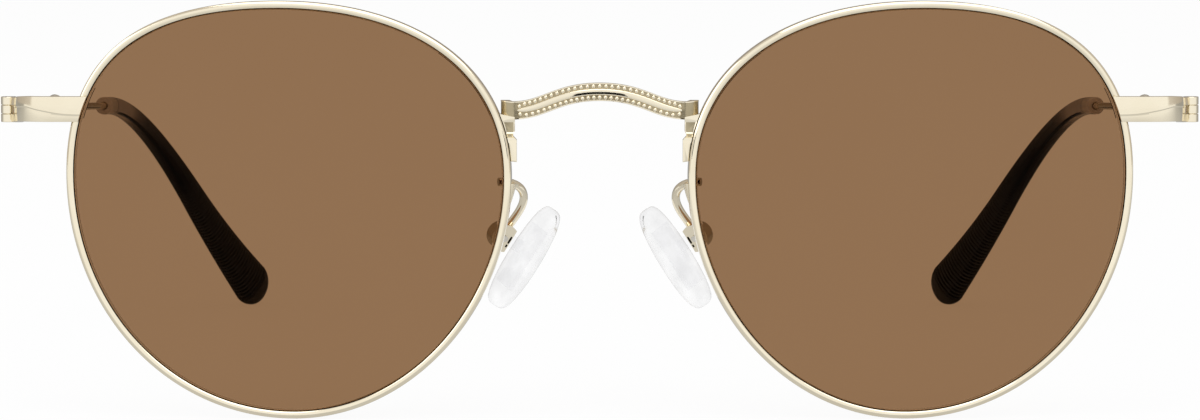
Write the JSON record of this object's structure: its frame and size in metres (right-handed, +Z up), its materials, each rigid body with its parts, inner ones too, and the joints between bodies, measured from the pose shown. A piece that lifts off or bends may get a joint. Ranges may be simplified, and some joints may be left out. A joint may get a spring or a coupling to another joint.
{
  "type": "eyeglasses",
  "caption": "Round metal eyeglasses with tinted lenses in split grooved rims, a beaded saddle bridge, swivelling clear nose pads, folding temples and dark curved tips.",
  "frame": {"origin": "on the table under the middle of the bounding box, the temples open, the part standing on its rims and its temple tips", "axes": "+Z up, +Y from the front towards the temple tips, +X towards the wearer's left"},
  "size_m": [0.1376, 0.1436, 0.0475],
  "materials": {
    "gold_plate": "pale gold plate, polished",
    "screw_steel": "polished",
    "lens_brown": "brown tint, polished",
    "clear_silicone": "clear, satin",
    "clear_core": "clear, hard",
    "tip_dark": "dark brown, polished"
  },
  "bodies": {
    "root": {"bridge": "gold_plate", "left_rim": "gold_plate", "right_rim": "gold_plate", "left_lens": "lens_brown", "right_lens": "lens_brown", "left_endpiece": "gold_plate", "right_endpiece": "gold_plate", "left_lock_upper": "gold_plate", "right_lock_upper": "gold_plate", "left_lock_lower": "gold_plate", "right_lock_lower": "gold_plate", "left_lock_screw": "screw_steel", "right_lock_screw": "screw_steel", "left_hinge_screw": "screw_steel", "right_hinge_screw": "screw_steel", "left_pad_arm": "gold_plate", "right_pad_arm": "gold_plate", "left_pad_box": "gold_plate", "right_pad_box": "gold_plate", "left_pad_screw": "screw_steel", "right_pad_screw": "screw_steel"},
    "left_temple": {"left_temple": "gold_plate", "left_temple_tip": "tip_dark"},
    "right_temple": {"right_temple": "gold_plate", "right_temple_tip": "tip_dark"},
    "left_pad": {"left_nose_pad": "clear_silicone", "left_pad_core": "clear_core"},
    "right_pad": {"right_nose_pad": "clear_silicone", "right_pad_core": "clear_core"}
  },
  "joints": [
    {"name": "left_temple_hinge", "type": "hinge", "parent": "root", "child": "left_temple", "pos_m": [0.0679, -0.06123, 0.03484], "axis": [0, 0, 1], "range_deg": [0, 84]},
    {"name": "right_temple_hinge", "type": "hinge", "parent": "root", "child": "right_temple", "pos_m": [-0.0679, -0.06123, 0.03484], "axis": [0, 0, -1], "range_deg": [0, 79]},
    {"name": "left_pad_swivel", "type": "hinge", "parent": "root", "child": "left_pad", "pos_m": [0.01118, -0.06258, 0.0203], "axis": [0.3177, 0.9272, 0.1985], "range_deg": [-12, 12]},
    {"name": "right_pad_swivel", "type": "hinge", "parent": "root", "child": "right_pad", "pos_m": [-0.01118, -0.06258, 0.0203], "axis": [-0.3177, 0.9272, 0.1985], "range_deg": [-12, 12]}
  ]
}
